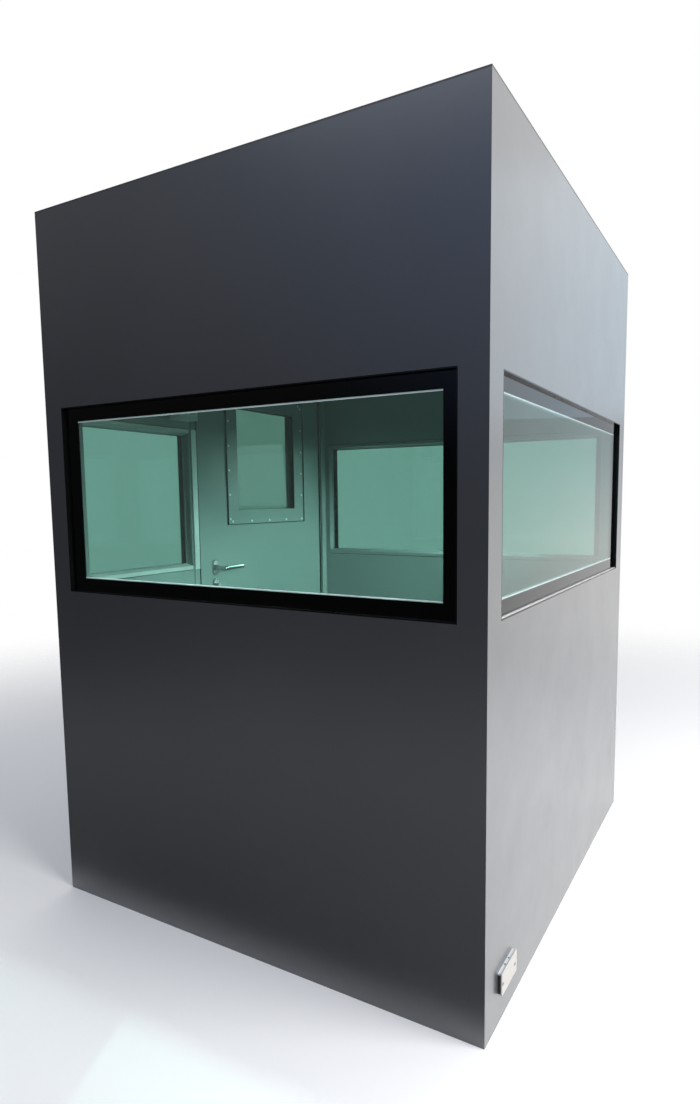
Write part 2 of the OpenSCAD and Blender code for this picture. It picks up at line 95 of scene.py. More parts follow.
BOX_DOT_R = 2.6 * MM
BOX_DOT_PLACES = (0.37, 0.62)
LOCK_SCREW_R = 4 * MM
LOCK_SCREW_INSET = 9 * MM
JOINT_W = 2.5 * MM
JOINT_T = 0.6 * MM
# The dark rims around the door's trim plates are painted shade
TRIM_SHADE_RIM_W = 3 * MM
TRIM_SHADE_RIM_T = 8 * MM
BOARD_SLOPE = 8 * MM
BOARD_EDGE_R = 1.5 * MM
TAPE_T = 0.7 * MM
# The spacer bars inside the glass are pale strips of painted highlight
SPACER_DEPTH = 38 * MM
SPACER_BACK = 41.5 * MM
SPACER_OVERLAP = 0.5 * MM
SPACER_H = 4.5 * MM
SPACER_BEVEL = 2 * MM
# The pale strip on the right window's sill is a painted highlight
SILL_HIGHLIGHT_START = 4.5 * MM
SILL_HIGHLIGHT_T = 1.2 * MM

# A screw head, as shares of its radius, apart from the cross's floor, which is a share of its height
SCREW_HEIGHT = 0.42
SCREW_MERGE = 0.001
CROSS_REACH = 0.62
CROSS_HALF_W = 0.13
CROSS_FLOOR = 0.35

# Its outline, as shares of its radius and its height, and the steps that it is spun in
SCREW_OUTLINE = ((1.0, 0.0), (1.0, 0.35), (0.94, 0.62), (0.72, 0.86), (0.4, 0.98), (0.0, 1.0))
SCREW_STEPS = 24

# Turns of the screws' crosses, in radians, so that they don't all stand alike
TRIM_SCREW_TURN = 0.9
HINGE_SCREW_TURN = 0.7
LOCK_SCREW_TURN = 0.4
BOX_DOT_TURN = 0.5
BOX_SCREW_TURN_PER_M = 50.0

# Sizes of the CAD model that the new pieces and the finishes follow, in metres
LEDGE_W = 24 * MM
POST_LEDGE_W = 10 * MM
GLASS_GAP = 3 * MM
GLASS_DEPTH = 13 * MM
LINER_T = 4 * MM
BORDER_SIDE_W = 53 * MM
BORDER_POST_W = 38 * MM
BORDER_RAIL_W = 48 * MM
REBATE_DEPTH = 43.5 * MM
BEAD_W = 4 * MM
BEAD_T = 5 * MM
BOARD_DEPTH = 81.5 * MM
WALL_T = 80 * MM
LEAF_T = 75 * MM
LOCK_BEVEL = 5 * MM

# Places in the list that wall_windows gives
RIGHT_WINDOW = 1
BACK_WINDOW = 2

# Turns a piece drawn with X along a wall and Y as its depth so that it stands along Y
ACROSS = Matrix(((0, 1, 0, 0), (1, 0, 0, 0), (0, 0, 1, 0), (0, 0, 0, 1)))

# Depth behind the walls' and the leaf's outer faces where the inner finish starts, in metres
INNER_FINISH_DEPTH = 44 * MM
LEAF_FINISH_DEPTH = 74.5 * MM

# The range that noise mostly keeps to, and the shares of a colour that it varies between
NOISE_RANGE = (0.3, 0.7)
PAINT_TONES = (0.93, 1.06)
METAL_TONES = (0.93, 1.04)

# How far noise varies a roughness below and above its value
PAINT_GLOSS_SPREAD = (0.03, 0.04)
METAL_GLOSS_SPREAD = (0.05, 0.07)
MOULD_GLOSS_SPREAD = (0.03, 0.03)

# Texture, in waves per metre
PATCH_WAVES = 1.7
GLOSS_WAVES = 5.0
PEEL_WAVES = 420.0
SHEET_WAVES = 1.3
DUST_WAVES = 14.0
BRUSHED_GRAIN = (600.0, 600.0, 30.0)
EVEN_GRAIN = (300.0, 300.0, 300.0)
STRIP_GRAIN = (40.0, 600.0, 40.0)
MOULD_PATCH_WAVES = 9.0
MOULD_GLOSS_WAVES = 30.0
GLASS_WAVES = 2.0

# Heights of the texture, and how high the dust reaches, in metres
GRAIN_HEIGHT = 0.015 * MM
GLASS_RIPPLE = 0.2 * MM
DUST_HEIGHT = 0.35

# The dust's colour in 8-bit sRGB, and the range of its specks
DUST_COLOUR = (150, 146, 138)
DUST_SPECKS = (0.2, 1.2)

# Refraction of paint, plastic and glass, and the gloss of the paint's top layer
IOR = 1.5
COAT_ROUGHNESS = 0.25
COAT_IOR = 1.65

# The floor: how far it reaches, and its tones
FLOOR_FADE_START = 2.2
FLOOR_FADE_END = 6.0
FLOOR_SIDES = 96
FLOOR_ROUGHNESS = 0.9
FLOOR_WHITE = (0.87, 0.87, 0.87, 1.0)

# The floor's darker tones in front of the booth, which only its paint and glass see, by depth along Y
FLOOR_FRONT_START = -0.88
FLOOR_FRONT_END = -1.0
FLOOR_FAR_END = -2.8
FLOOR_FRONT = (0.09, 0.09, 0.09, 1.0)
FLOOR_FAR = (0.34, 0.34, 0.34, 1.0)

# The world's tones, and the share of its light that is left after it scatters inside
WHITE = (1.0, 1.0, 1.0, 1.0)
FRONT_LOW = (0.03, 0.03, 0.033, 1.0)
FRONT_HIGH = (0.22, 0.225, 0.24, 1.0)
FRONT_SKY = (0.17, 0.29, 0.58, 1.0)
BACK_HAZE = (0.60, 0.65, 0.70, 1.0)
INSIDE_LIGHT = 0.35

# Where they change: ranges of a direction's part along Z, Y and toward the patch of sky
FRONT_RISE = (0.05, 0.45)
HORIZON_RANGE = (-0.06, 0.06)
BACK_RANGE = (-0.15, 0.5)
HAZE_RANGE = (0.89, 0.96)
SKY_RANGE = (0.78, 1.0)
SKY_DIRECTION = (-0.1, -0.79, 0.6)

# Lamps: place, the point they look at and size in metres, power in watts, colour, spread in degrees
NEUTRAL = (1.0, 1.0, 1.0)
SKY_BLUE = (0.5, 0.78, 1.0)
PALE_GREEN = (0.86, 1.0, 0.97)
LAMPS = {
    "key_right": ((5.1, -0.7, 2.9), (0.86, -0.1, 1.2), (4.0, 3.0), 435.0, NEUTRAL, 180),
    "softbox_back": ((2.6, 5.2, 3.6), (0.9, 0.0, 1.4), (4.0, 2.6), 11.0, SKY_BLUE, 180),
    "fill_front": ((-1.0, -4.6, 7.0), (0.0, -0.8, 1.8), (5.0, 4.0), 92.0, NEUTRAL, 180),
    "fill_inside": ((0.68, 0.55, 1.52), (-0.8, 0.4, 0.7), (0.4, 0.35), 11.2, PALE_GREEN, 70),
    "fill_sill": ((0.7, -0.4, 1.4), (-0.75, -0.45, 0.95), (0.6, 0.3), 3.2, PALE_GREEN, 45),
    "glow_back": ((-0.25, 0.76, 1.6), (-0.25, -1.0, 1.4), (0.5, 0.35), 0.8, PALE_GREEN, 180),
    "fill_right": ((3.4, -3.6, 2.2), (0.86, -0.87, 1.3), (3.0, 3.0), 38.0, NEUTRAL, 180),
    "handle_light": ((-0.4, 0.76, 1.62), (-0.4, -1.0, 1.62), (0.6, 0.5), 4.0, NEUTRAL, 180),
    "rose_light": ((0.12, 0.77, 1.16), (-0.716, -0.11, 1.16), (0.16, 0.22), 0.19, NEUTRAL, 180),
    "lock_light": ((0.12, 0.77, 0.942), (-0.716, -0.11, 0.942), (0.16, 0.085), 0.09, NEUTRAL, 180),
    "spacer_light": ((0.0, -1.5, 0.15), (0.0, -0.84, 1.75), (1.6, 0.2), 30.0, NEUTRAL, 180),
    "sill_light": ((0.0, -0.5, 2.3), (0.0, -0.8, 1.2), (1.3, 0.1), 5.0, NEUTRAL, 30),
}

# CAD nodes that a lamp leaves out, or lights alone
LEFT_OUT = {"key_right": ("front_wall",)}
LIT_ALONE = {
    "fill_right": ("front_wall",),
    "handle_light": ("lever_inside", "handle_roses", "thumbturn_knob"),
    "rose_light": ("handle_roses", "thumbturn_knob"),
    "lock_light": ("handle_roses", "thumbturn_knob"),
}


# Nodes of the materials

def new_material(name):
    """An empty node material, its node tree and its output node."""
    material = bpy.data.materials.new(name)
    material.use_nodes = True
    tree = material.node_tree
    tree.nodes.clear()
    output = tree.nodes.new("ShaderNodeOutputMaterial")
    return material, tree, output


def add(tree, kind, inputs=None, **settings):
    """Adds a node, sets its settings and its inputs: values are set and sockets are linked."""
    made = tree.nodes.new(kind)
    for key, value in settings.items():
        setattr(made, key, value)
    for key, value in (inputs or {}).items():
        if isinstance(value, bpy.types.NodeSocket):
            tree.links.new(value, made.inputs[key])
        else:
            made.inputs[key].default_value = value
    return made


def calc(tree, operation, *values):
    """Result of a math node."""
    return add(tree, "ShaderNodeMath", dict(enumerate(values)), operation=operation).outputs["Value"]


def ramp(tree, value, start, end, low=0.0, high=1.0, smooth=False):
    """Maps the range from start to end to the range from low to high, and holds it beyond its ends."""
    return add(
        tree, "ShaderNodeMapRange",
        {"Value": value, "From Min": start, "From Max": end, "To Min": low, "To Max": high},
        interpolation_type="SMOOTHSTEP" if smooth else "LINEAR",
    ).outputs["Result"]


def blend(tree, factor, first, second):
    """Mix of two colours."""
    return add(
        tree, "ShaderNodeMix", {"Factor": factor, "A": first, "B": second}, data_type="RGBA"
    ).outputs["Result"]


def bumped(tree, height, distance, **inputs):
    """Normal of a bumpy surface."""
    return add(
        tree, "ShaderNodeBump", {"Height": height, "Distance": distance, **inputs}
    ).outputs["Normal"]


def noise(tree, place, waves, detail, roughness=0.5):
    """Noise at the given number of waves per metre."""
    return add(
        tree, "ShaderNodeTexNoise",
        {"Vector": place, "Scale": waves, "Detail": detail, "Roughness": roughness},
    ).outputs["Fac"]


def mapped(tree, value, low=0.0, high=1.0):
    """Maps noise, which lies around 0.5, to a range."""
    return ramp(tree, value, *NOISE_RANGE, low, high)


def glossed(tree, value, roughness, spread):
    """Roughness that noise varies around a value."""
    less, more = spread
    return mapped(tree, value, roughness - less, roughness + more)


def srgb(red, green, blue):
    """Linear colour of 8-bit sRGB values."""
    def linear(value):
        value /= 255
        return value / 12.92 if value <= 0.04045 else ((value + 0.055) / 1.055) ** 2.4
    return (linear(red), linear(green), linear(blue), 1.0)


def toned(tree, factor, colour, shares):
    """A colour that varies with a factor between two shares of itself."""
    low, high = ((colour[0] * share, colour[1] * share, colour[2] * share, 1.0) for share in shares)
    return blend(tree, factor, low, high)


def inside_mask(tree, place, depth):
    """1 further in than a depth behind the booth's outer faces, and 0 outside that."""
    low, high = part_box("roof_plate")
    middle = (low + high) / 2
    half = (high - low) / 2
    axes = add(tree, "ShaderNodeSeparateXYZ", {"Vector": place}).outputs
    sides = []
    for axis, centre, reach in (("X", middle.x, half.x), ("Y", middle.y, half.y)):
        away = calc(tree, "ABSOLUTE", calc(tree, "SUBTRACT", axes[axis], centre))
        sides.append(calc(tree, "LESS_THAN", away, reach - depth))
    return calc(tree, "MULTIPLY", *sides)


def paint(
    name, colour, roughness, coat=0.0, wave=0.0, peel=0.02 * MM, dust=0.0, inner=None, depth=0.0
):
    """Sprayed satin paint: faint patches, orange peel, the slow waves of sheet steel and dust low down.

    An inner colour covers what lies deeper behind the booth's outer faces than the given depth."""
    material, tree, output = new_material(name)
    place = add(tree, "ShaderNodeTexCoord").outputs["Object"]
    patches = mapped(tree, noise(tree, place, PATCH_WAVES, detail=3.0))
    result = toned(tree, patches, colour, PAINT_TONES)
    if dust:
        height = add(tree, "ShaderNodeSeparateXYZ", {"Vector": place}).outputs["Z"]
        low = ramp(tree, height, 0.0, DUST_HEIGHT, dust, 0.0)
        dots = noise(tree, place, DUST_WAVES, detail=6.0, roughness=0.7)
        specks = mapped(tree, dots, *DUST_SPECKS)
        result = blend(tree, calc(tree, "MULTIPLY", low, specks), result, srgb(*DUST_COLOUR))
    if inner:
        inner_tone = toned(tree, patches, inner, PAINT_TONES)
        result = blend(tree, inside_mask(tree, place, depth), result, inner_tone)
    fine = noise(tree, place, GLOSS_WAVES, detail=4.0)
    gloss = glossed(tree, fine, roughness, PAINT_GLOSS_SPREAD)
    normal = bumped(tree, noise(tree, place, PEEL_WAVES, detail=1.0), peel)
    if wave:
        slow = noise(tree, place, SHEET_WAVES, detail=1.0, roughness=0.3)
        normal = bumped(tree, slow, wave, Normal=normal)
    shader = add(
        tree, "ShaderNodeBsdfPrincipled",
        {"Base Color": result, "Roughness": gloss, "Normal": normal, "IOR": IOR, "Coat Weight": coat,
         "Coat Roughness": COAT_ROUGHNESS, "Coat IOR": COAT_IOR},
    )
    tree.links.new(shader.outputs["BSDF"], output.inputs["Surface"])
    return material


def metal(name, colour, roughness, grain=BRUSHED_GRAIN):
    """Satin metal with a fine brushed grain."""
    material, tree, output = new_material(name)
    place = add(tree, "ShaderNodeTexCoord").outputs["Object"]
    stretched = add(tree, "ShaderNodeMapping", {"Vector": place, "Scale": grain}).outputs["Vector"]
    lines = noise(tree, stretched, 1.0, detail=3.0, roughness=0.6)
    gloss = glossed(tree, lines, roughness, METAL_GLOSS_SPREAD)
    tone = toned(tree, mapped(tree, lines), colour, METAL_TONES)
    shader = add(
        tree, "ShaderNodeBsdfPrincipled",
        {"Base Color": tone, "Metallic": 1.0, "Roughness": gloss,
         "Normal": bumped(tree, lines, GRAIN_HEIGHT)},
    )
    tree.links.new(shader.outputs["BSDF"], output.inputs["Surface"])
    return material


def plastic(name, colour, roughness, speckle, bump=0.03 * MM, waves=700.0, shine=0.5):
    """Moulded plastic, rubber or enamel with a fine even grain."""
    material, tree, output = new_material(name)
    place = add(tree, "ShaderNodeTexCoord").outputs["Object"]
    patches = mapped(tree, noise(tree, place, MOULD_PATCH_WAVES, detail=4.0))
    tone = toned(tree, patches, colour, (1 - speckle, 1 + speckle))
    normal = bumped(tree, noise(tree, place, waves, detail=2.0), bump)
    fine = noise(tree, place, MOULD_GLOSS_WAVES, detail=3.0)
    gloss = glossed(tree, fine, roughness, MOULD_GLOSS_SPREAD)
    shader = add(
        tree, "ShaderNodeBsdfPrincipled",
        {"Base Color": tone, "Roughness": gloss, "Normal": normal, "IOR": IOR,
         "Specular IOR Level": shine},
    )
    tree.links.new(shader.outputs["BSDF"], output.inputs["Surface"])
    return material


def glass(name, tint):
    """Tinted float glass, which lets the lamps' light through with its tint."""
    material, tree, output = new_material(name)
    place = add(tree, "ShaderNodeTexCoord").outputs["Object"]
    ripples = noise(tree, place, GLASS_WAVES, detail=1.0, roughness=0.3)
    normal = bumped(tree, ripples, GLASS_RIPPLE)
    pane = add(
        tree, "ShaderNodeBsdfPrincipled",
        {"Base Color": tint, "Roughness": 0.0, "IOR": IOR, "Transmission Weight": 1.0, "Normal": normal},
    )
    face_tint = (math.sqrt(tint[0]), math.sqrt(tint[1]), math.sqrt(tint[2]), 1.0)
    clear = add(tree, "ShaderNodeBsdfTransparent", {"Color": face_tint})
    rays = add(tree, "ShaderNodeLightPath")
    mixed = add(
        tree, "ShaderNodeMixShader",
        {0: rays.outputs["Is Shadow Ray"], 1: pane.outputs["BSDF"], 2: clear.outputs["BSDF"]},
    )
    tree.links.new(mixed.outputs["Shader"], output.inputs["Surface"])
    return material


def make_materials():
    """One material for each finish in the record, by slot, and a few more."""
    wall_grey = srgb(66, 67, 69)
    inner_grey = srgb(122, 135, 134)
    return {
        "wall_paint": paint(
            "wall_paint", wall_grey, 0.36, coat=1.0, wave=1.2 * MM, dust=0.05,
            inner=inner_grey, depth=INNER_FINISH_DEPTH,
        ),
        "door_paint": paint(
            "door_paint", wall_grey, 0.36, coat=1.0, wave=MM, dust=0.05,
            inner=inner_grey, depth=LEAF_FINISH_DEPTH,
        ),
        "inner_paint": paint("inner_paint", inner_grey, 0.38),
        # Pale paint of the boards at the front, right and left windows, which the back window's boards
        # lack: painted light
        "board_paint": paint("board_paint", srgb(214, 218, 216), 0.32),
        "roof_paint": paint("roof_paint", wall_grey, 0.42, wave=MM),
        "base_paint": paint("base_paint", srgb(38, 38, 40), 0.55, peel=0.06 * MM),
        "floor": plastic("floor", srgb(72, 73, 73), 0.6, 0.1, bump=0.2 * MM, waves=260.0),
        "window_glass": glass("window_glass", (0.36, 0.57, 0.51, 1.0)),
        "vision_glass": glass("vision_glass", (0.20, 0.34, 0.29, 1.0)),
        "glass_border": plastic("glass_border", srgb(7, 7, 9), 0.3, 0.1, bump=0.0, shine=0.15),
        "liner": plastic("liner", srgb(13, 13, 14), 0.14, 0.1, bump=0.01 * MM),
        "vision_liner": plastic("vision_liner", srgb(4, 4, 5), 0.5, 0.1, shine=0.05),
        # Pinkish white that reads as the spacers' shine through the green glass: painted highlight
        "spacer_glint_paint": plastic("spacer_glint_paint", srgb(240, 219, 232), 0.35, 0.02),
        # Pale strip on the right window's sill: painted highlight
        "sill_highlight_paint": plastic("sill_highlight_paint", srgb(214, 211, 211), 0.3, 0.04),
        "zinc": plastic("zinc", srgb(226, 228, 227), 0.3, 0.05),
        # Near-black plates on the outer box's ends: painted shade
        "box_shade_plate": plastic("box_shade_plate", srgb(40, 36, 41), 0.5, 0.08),
        "trim": paint("trim", inner_grey, 0.36, coat=1.0),
        "strip": metal("strip", srgb(206, 208, 208), 0.5, STRIP_GRAIN),
        "handle_metal": metal("handle_metal", srgb(214, 215, 217), 0.12),
        "hinge_metal": paint("hinge_metal", wall_grey, 0.36),
        "pin_metal": metal("pin_metal", srgb(180, 181, 184), 0.3),
        # One white plastic box: the body's bluish white is partly painted sky light on its top, and the
        # cover's darker grey is painted shade on its sides
        "white_box": plastic("white_box", srgb(206, 212, 218), 0.32, 0.015),
        "box_cover": plastic("box_cover", srgb(167, 164, 160), 0.32, 0.015),
        "pale_box": plastic("pale_box", srgb(232, 236, 233), 0.4, 0.02),
        "dark_screw": metal("dark_screw", srgb(112, 112, 114), 0.45, EVEN_GRAIN),
        "screw_steel": metal("screw_steel", srgb(222, 223, 225), 0.4, EVEN_GRAIN),
    }


def dress_nodes(materials):
    """Gives each CAD node the material of its slot, or its own where it differs."""
    own = {"door_leaf": "door_paint", "vision_liners": "vision_liner"}
    for entry in frame["record"]["subparts"]:
        mesh = frame["nodes"][entry["node"]].data
        mesh.materials.clear()
        mesh.materials.append(materials[own.get(entry["node"], entry["material_slot"])])


# Mesh helpers

def mesh_object(name, mesh, body, material):
    """Puts a finished mesh in the scene, riding on a body, with its material."""
    piece = bpy.data.objects.new(name, mesh)
    bpy.context.scene.collection.objects.link(piece)
    mesh.materials.clear()
    mesh.materials.append(material)
    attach(piece, body)
    return piece


def finish(name, shape, body, material):
    """Makes a bmesh a piece of the scene, and frees it."""
    mesh = bpy.data.meshes.new(name)
    shape.to_mesh(mesh)
    shape.free()
    return mesh_object(name, mesh, body, material)


def add_block(shape, low, high):
    """Adds a box between two corners to a bmesh."""
    low = Vector(low)
    high = Vector(high)
    middle = Matrix.Translation((low + high) / 2)
    size = Matrix.Diagonal((*(high - low), 1.0))
    bmesh.ops.create_cube(shape, size=1.0, matrix=middle @ size)


def add_frame(part, low, high, width, depth, thickness):
    """Adds four bars around the outside of an upright rectangle."""
    (x0, z0), (x1, z1) = low, high
    near, far = depth, depth + thickness
    add_block(part, (x0 - width, near, z0 - width), (x1 + width, far, z0))
    add_block(part, (x0 - width, near, z1), (x1 + width, far, z1 + width))
    add_block(part, (x0 - width, near, z0), (x0, far, z1))
    add_block(part, (x1, near, z0), (x1 + width, far, z1))


def add_bar(part, profile, start, end):
    """Adds a bar along X with an outline of (depth, height) points."""
    rings = [[part.verts.new((x, y, z)) for y, z in profile] for x in (start, end)]
    for i in range(len(profile)):
        j = (i + 1) % len(profile)
        part.faces.new((rings[0][i], rings[0][j], rings[1][j], rings[1][i]))
    for ring in rings:
        part.faces.new(ring)
    bmesh.ops.recalc_face_normals(part, faces=part.faces)


def add_placed(shape, part, placed):
    """Adds a bmesh that is drawn in a wall's frame to a shape, and frees it."""
    piece = bpy.data.meshes.new("part")
    part.to_mesh(piece)
    part.free()
    piece.transform(placed)
    shape.from_mesh(piece)
    bpy.data.meshes.remove(piece)


def cut(shape, tool):
    """Mesh of one bmesh less another. Both are freed."""
    made = []
    for part in (shape, tool):
        mesh = bpy.data.meshes.new("cut_part")
        part.to_mesh(mesh)
        part.free()
        item = bpy.data.objects.new("cut_part", mesh)
        bpy.context.scene.collection.objects.link(item)
        made.append(item)
    solid, cutter = made
    modifier = solid.modifiers.new("cut", "BOOLEAN")
    modifier.object = cutter
    modifier.operation = "DIFFERENCE"
    modifier.solver = "EXACT"
    modifier.use_self = True
    bpy.context.view_layer.update()
    graph = bpy.context.evaluated_depsgraph_get()
    result = bpy.data.meshes.new_from_object(solid.evaluated_get(graph))
    for item in made:
        bpy.data.objects.remove(item)
    return result


def screw_head(radius):
    """Mesh of a low domed screw head with a cross recess, standing on its own XY plane."""
    shape = bmesh.new()
    height = radius * SCREW_HEIGHT
    spun = [shape.verts.new((radius * x, 0, height * z)) for x, z in SCREW_OUTLINE]
    edges = [shape.edges.new(pair) for pair in zip(spun, spun[1:])]
    bmesh.ops.spin(
        shape, geom=spun + edges, cent=(0, 0, 0), axis=(0, 0, 1), angle=math.tau, steps=SCREW_STEPS,
        use_duplicate=False,
    )
    bmesh.ops.remove_doubles(shape, verts=shape.verts, dist=radius * SCREW_MERGE)
    bmesh.ops.holes_fill(shape, edges=shape.edges)
    bmesh.ops.recalc_face_normals(shape, faces=shape.faces)
    cross = bmesh.new()
    arm = radius * CROSS_REACH
    width = radius * CROSS_HALF_W
    floor = height * CROSS_FLOOR
    add_block(cross, (-arm, -width, floor), (arm, width, height * 2))
    add_block(cross, (-width, -arm, floor), (width, arm, height * 2))
    return cut(shape, cross)


def scatter(name, template, places, body, material):
    """One piece of many copies of a mesh. Each place is (point, outward direction, turn)."""
    shape = bmesh.new()
    for point, outward, turn in places:
        copy = template.copy()
        spin = Matrix.Rotation(turn, 4, "Z")
        stand = Vector(outward).to_track_quat("Z", "Y").to_matrix().to_4x4()
        copy.transform(Matrix.Translation(point) @ stand @ spin)
        shape.from_mesh(copy)
        bpy.data.meshes.remove(copy)
    for face in shape.faces:
        face.smooth = False
    finish(name, shape, body, material)


# Screws

def vision_screws(template, material):
    """Screws around the trim plates on both faces of the door."""
    low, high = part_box("vision_plates")
    middle = (low + high) / 2
    half_y = (high.y - low.y) / 2
    half_z = (high.z - low.z) / 2
    row_step = (2 * half_y - TRIM_ROW_START - TRIM_COLUMN_INSET) / (TRIM_SCREWS_ACROSS - 1)
    column_step = 2 * (half_z - TRIM_COLUMN_START) / (TRIM_SCREWS_UP - 1)
    offsets = [
        (half_y - TRIM_ROW_START - i * row_step, -half_z + TRIM_ROW_INSET)
        for i in range(TRIM_SCREWS_ACROSS)
    ]
    offsets += [
        (half_y - TRIM_COLUMN_INSET, -half_z + TRIM_COLUMN_START + i * column_step)
        for i in range(TRIM_SCREWS_UP - 1)
    ]
    points = {(middle.y - side * y, middle.z + side * z) for y, z in offsets for side in (1, -1)}
    places = []
    for number, (y, z) in enumerate(sorted(points)):
        turn = TRIM_SCREW_TURN * number
        places.append(((high.x, y, z), (1, 0, 0), turn))
        places.append(((low.x, y, z), (-1, 0, 0), turn))
    scatter("vision_screws", template, places, "door", material)


def hinge_screws(template, material):
    """Three screws in each hinge plate, on the frame and on the leaf."""
    for node, body, side in (("hinge_frame_leaves", "booth", 1), ("hinge_door_leaves", "door", -1)):
        low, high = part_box(node)
        plate_middle = (high.y if side > 0 else low.y) - side * HINGE_SCREW_INSET
        face_x = high.x - HINGE_PLATE_T
        step = (high.z - low.z - HINGE_H) / (HINGE_COUNT - 1)
        places = []
        for hinge in range(HINGE_COUNT):
            for screw in range(HINGE_SCREWS):
                z = low.z + hinge * step + HINGE_H * (screw + 0.5) / HINGE_SCREWS
                turn = HINGE_SCREW_TURN * screw + hinge
                places.append(((face_x, plate_middle, z), (-1, 0, 0), turn))
        scatter(f"{node}_screws", template, places, body, material)


def lock_screws(template, material):
    """Two screws in the face plate on the door's edge and two in the strike plate on the frame."""
    bevel = math.atan2(LOCK_BEVEL, LEAF_T)
    for node, body, outward in (
        ("lock_faceplate", "door", Vector((math.sin(bevel), -math.cos(bevel), 0.0))),
        ("strike_plate", "booth", Vector((0.0, 1.0, 0.0))),
    ):
        low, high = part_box(node)
        middle = (low + high) / 2
        # Half of the plate's box along Y, less the slant of the plate over its own width
        half_t = (high.y - low.y - (high.x - low.x) * abs(outward.x)) / 2
        places = [
            (Vector((middle.x, middle.y, z)) + outward * half_t, outward, LOCK_SCREW_TURN * number)
            for number, z in enumerate((low.z + LOCK_SCREW_INSET, high.z - LOCK_SCREW_INSET))
        ]
        scatter(f"{node}_screws", template, places, body, material)


def box_screws(template, material):
    """A screw in each well of the outer box's cover."""
    low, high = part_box("socket_box_cover")
    well = high.x - BOX_WELL_DEPTH
    places = [
        ((well, low.y + y, low.z + z), (1, 0, 0), BOX_SCREW_TURN_PER_M * y) for y, z in BOX_SCREWS
    ]
    scatter("socket_box_screws", template, places, "booth", material)


def box_dots(template, material):
    """Two small screws on top of the outer box's body."""
    low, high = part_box("socket_box_body")
    middle_x = (low.x + high.x) / 2
    places = [
        ((middle_x, low.y + (high.y - low.y) * share, high.z), (0, 0, 1), BOX_DOT_TURN + share)
        for share in BOX_DOT_PLACES
    ]
    scatter("socket_box_dots", template, places, "booth", material)


# The outer box

def box_cover(material):
    """The outer box's cover with rounded front edges and a well for each screw."""
    low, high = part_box("socket_box_cover")
    edge_turns = [i * math.pi / 2 / BOX_EDGE_STEPS for i in range(BOX_EDGE_STEPS + 1)]
    levels = [(0.0, low.x)] + [
        (BOX_EDGE_R * (1 - math.cos(turn)), high.x - BOX_EDGE_R * (1 - math.sin(turn)))
        for turn in edge_turns
    ]
    centres = (
        (high.y - BOX_CORNER_R, high.z - BOX_CORNER_R),
        (low.y + BOX_CORNER_R, high.z - BOX_CORNER_R),
        (low.y + BOX_CORNER_R, low.z + BOX_CORNER_R),
        (high.y - BOX_CORNER_R, low.z + BOX_CORNER_R),
    )
    shape = bmesh.new()
    rings = []
    for inset, x in levels:
        radius = BOX_CORNER_R - inset
        ring = []
        for quarter, (y, z) in enumerate(centres):
            for i in range(BOX_CORNER_STEPS + 1):
                turn = (quarter + i / BOX_CORNER_STEPS) * math.pi / 2
                point = (x, y + radius * math.cos(turn), z + radius * math.sin(turn))
                ring.append(shape.verts.new(point))
        rings.append(ring)
    for ring, following in zip(rings, rings[1:]):
        for i in range(len(ring)):
            j = (i + 1) % len(ring)
            shape.faces.new((ring[i], ring[j], following[j], following[i]))
    shape.faces.new(rings[0])
    shape.faces.new(rings[-1])
    bmesh.ops.recalc_face_normals(shape, faces=shape.faces)
    wells = bmesh.new()
    for y, z in BOX_SCREWS:
        centre = Matrix.Translation((high.x, low.y + y, low.z + z))
        bmesh.ops.create_cone(
            wells, cap_ends=True, segments=BOX_WELL_SIDES, radius1=BOX_WELL_R, radius2=BOX_WELL_R,
            depth=2 * BOX_WELL_DEPTH, matrix=centre @ Matrix.Rotation(math.pi / 2, 4, "Y"),
        )
    cover = mesh_object("box_cover", cut(shape, wells), "booth", material)
    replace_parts(cover, "socket_box_cover")


def box_shade_plates(material):
    """Dark plates on both ends of the outer box's body: painted shade for its shaded ends."""
    low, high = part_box("socket_box_body")
    shape = bmesh.new()
    for y in (low.y - BOX_SHADE_PLATE_T, high.y):
        corner = (low.x, y, low.z + BOX_SHADE_PLATE_MARGIN)
        add_block(shape, corner, (high.x, y + BOX_SHADE_PLATE_T, high.z - BOX_SHADE_PLATE_MARGIN))
    finish("box_shade_plates", shape, "booth", material)


# Windows

def wall_windows():
    """For each window: its wall's transform, drawn from the outer face with X along it, and its opening.

    The opening is (start, bottom), (end, top), followed by the ledge's width at its start."""
    low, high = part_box("roof_plate")
    windows = []
    for node, corner, turns, start_ledge in (
        ("front_glass", (low.x, low.y), 0, LEDGE_W),
        ("right_glass", (high.x, low.y), 1, LEDGE_W),
        ("back_glass", (high.x, high.y), 2, LEDGE_W),
        ("left_glass", (low.x, high.y), -1, POST_LEDGE_W),
    ):
        placed = Matrix.Translation((*corner, 0.0)) @ Matrix.Rotation(turns * math.pi / 2, 4, "Z")
        inverse = placed.inverted()
        near, far = (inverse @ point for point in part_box(node))
        start = min(near.x, far.x) - GLASS_GAP
        end = max(near.x, far.x) + GLASS_GAP
        windows.append((placed, (start, near.z - GLASS_GAP), (end, far.z + GLASS_GAP), start_ledge))
    return windows


